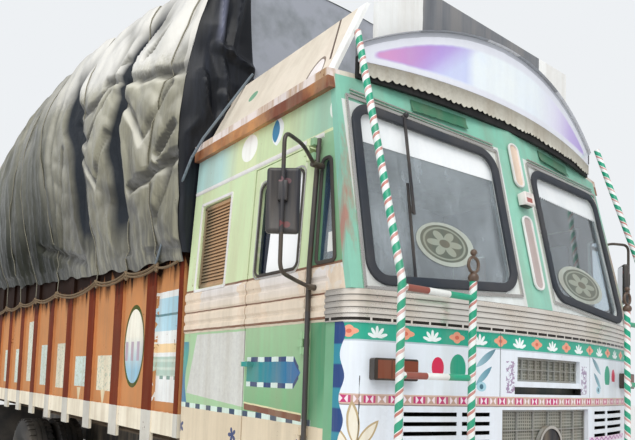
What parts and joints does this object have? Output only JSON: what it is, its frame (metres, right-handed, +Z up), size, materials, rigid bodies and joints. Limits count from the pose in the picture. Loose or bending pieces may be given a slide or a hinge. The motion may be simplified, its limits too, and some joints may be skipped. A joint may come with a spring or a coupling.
{
  "type": "decorated two-axle truck with covered load body",
  "caption": "Forward-control truck with a painted coach-built cab, slatted load body under a sheet cover, opening doors and tailgate, steered front wheels and twin rear wheels.",
  "frame": {"origin": "on the ground below the middle of the overall length and width", "axes": "+Z up, -Y towards the nose, -X towards the driver's side"},
  "size_m": [3.0216, 8.48, 4.94],
  "materials": {
    "tyre_rubber": "worn black tyre rubber",
    "rim_paint": "dusty painted steel",
    "chassis_black": "dull black chassis paint with road dirt",
    "cast_block": "rough oily casting",
    "front_paint": "glossy white and green paint",
    "cab_green": "faded pale green paint",
    "window_glass": "clear window glass",
    "bright_metal": "dull bright strip",
    "board_paint": "painted sheet",
    "trim_black": "black plastic and rubber",
    "seat_cover": "vinyl seat cover",
    "body_orange": "weathered orange paint with brown posts",
    "cover_plastic": "shiny creased black sheet"
  },
  "bodies": {
    "chassis": {"battery_box": "chassis_black", "belt_band": "bright_metal", "cab_floor": "cab_green", "cab_glass": "window_glass", "cab_nose": "front_paint", "cab_rear_wall": "cab_green", "cab_roof": "cab_green", "cab_side_left": "cab_green", "cab_side_right": "cab_green", "cab_steps": "chassis_black", "chassis_frame": "chassis_black", "crown_board": "board_paint", "dashboard": "trim_black", "engine_block": "cast_block", "front_axle": "chassis_black", "front_bumper": "front_paint", "front_lamps": "window_glass", "fuel_tank": "chassis_black", "grille_mesh": "bright_metal", "guard_rails": "board_paint", "headboard": "chassis_black", "leaf_springs": "chassis_black", "load_floor": "chassis_black", "load_side_left": "body_orange", "load_side_right": "body_orange", "mirrors": "trim_black", "mud_flaps": "tyre_rubber", "propshaft": "chassis_black", "radiator": "cast_block", "rear_axle": "chassis_black", "rear_bumper": "chassis_black", "roof_rack": "board_paint", "screen_frame": "front_paint", "seats": "seat_cover", "steering_wheel": "trim_black", "tarpaulin": "cover_plastic", "vent_shutters": "cab_green", "wiper": "trim_black"},
    "knuckle_left": {"knuckle_left": "chassis_black"},
    "knuckle_right": {"knuckle_right": "chassis_black"},
    "tie_rod": {"tie_rod": "chassis_black"},
    "wheel_front_left": {"front_rim_left": "rim_paint", "front_tyre_left": "tyre_rubber"},
    "wheel_front_right": {"front_rim_right": "rim_paint", "front_tyre_right": "tyre_rubber"},
    "wheel_rear_left": {"rear_rims_left": "rim_paint", "rear_tyres_left": "tyre_rubber"},
    "wheel_rear_right": {"rear_rims_right": "rim_paint", "rear_tyres_right": "tyre_rubber"},
    "door_left": {"door_left": "cab_green", "door_glass_left": "window_glass"},
    "door_right": {"door_right": "cab_green", "door_glass_right": "window_glass"},
    "tailgate": {"tailgate": "body_orange"}
  },
  "joints": [
    {"name": "steer_left", "type": "hinge", "parent": "chassis", "child": "knuckle_left", "pos_m": [0.8, -2.75, 0.515], "axis": [0, 0, 1], "range_deg": [-33, 33]},
    {"name": "steer_right", "type": "hinge", "parent": "chassis", "child": "knuckle_right", "pos_m": [-0.8, -2.75, 0.515], "axis": [0, 0, 1], "range_deg": [-33, 33]},
    {"name": "tie_rod_pivot", "type": "hinge", "parent": "knuckle_left", "child": "tie_rod", "pos_m": [0.8, -2.53, 0.418], "axis": [0, 0, 1], "range_deg": [-33, 33]},
    {"name": "spin_front_left", "type": "hinge", "parent": "knuckle_left", "child": "wheel_front_left", "pos_m": [1, -2.75, 0.515], "axis": [1, 0, 0], "continuous": true},
    {"name": "spin_front_right", "type": "hinge", "parent": "knuckle_right", "child": "wheel_front_right", "pos_m": [-1, -2.75, 0.515], "axis": [1, 0, 0], "continuous": true},
    {"name": "spin_rear_left", "type": "hinge", "parent": "chassis", "child": "wheel_rear_left", "pos_m": [0.885, 1.88, 0.515], "axis": [1, 0, 0], "continuous": true},
    {"name": "spin_rear_right", "type": "hinge", "parent": "chassis", "child": "wheel_rear_right", "pos_m": [-0.885, 1.88, 0.515], "axis": [1, 0, 0], "continuous": true},
    {"name": "door_left_hinge", "type": "hinge", "parent": "chassis", "child": "door_left", "pos_m": [1.215, -3.537, 1.9], "axis": [0, 0, -1], "range_deg": [0, 70]},
    {"name": "door_right_hinge", "type": "hinge", "parent": "chassis", "child": "door_right", "pos_m": [-1.215, -3.537, 1.9], "axis": [0, 0, 1], "range_deg": [0, 70]},
    {"name": "tailgate_hinge", "type": "hinge", "parent": "chassis", "child": "tailgate", "pos_m": [0, 4.214, 1.332], "axis": [-1, 0, 0], "range_deg": [0, 170]}
  ],
  "couplings": [
    {"joint": "steer_right", "follows": "steer_left", "ratio": 1},
    {"joint": "tie_rod_pivot", "follows": "steer_left", "ratio": -1}
  ]
}
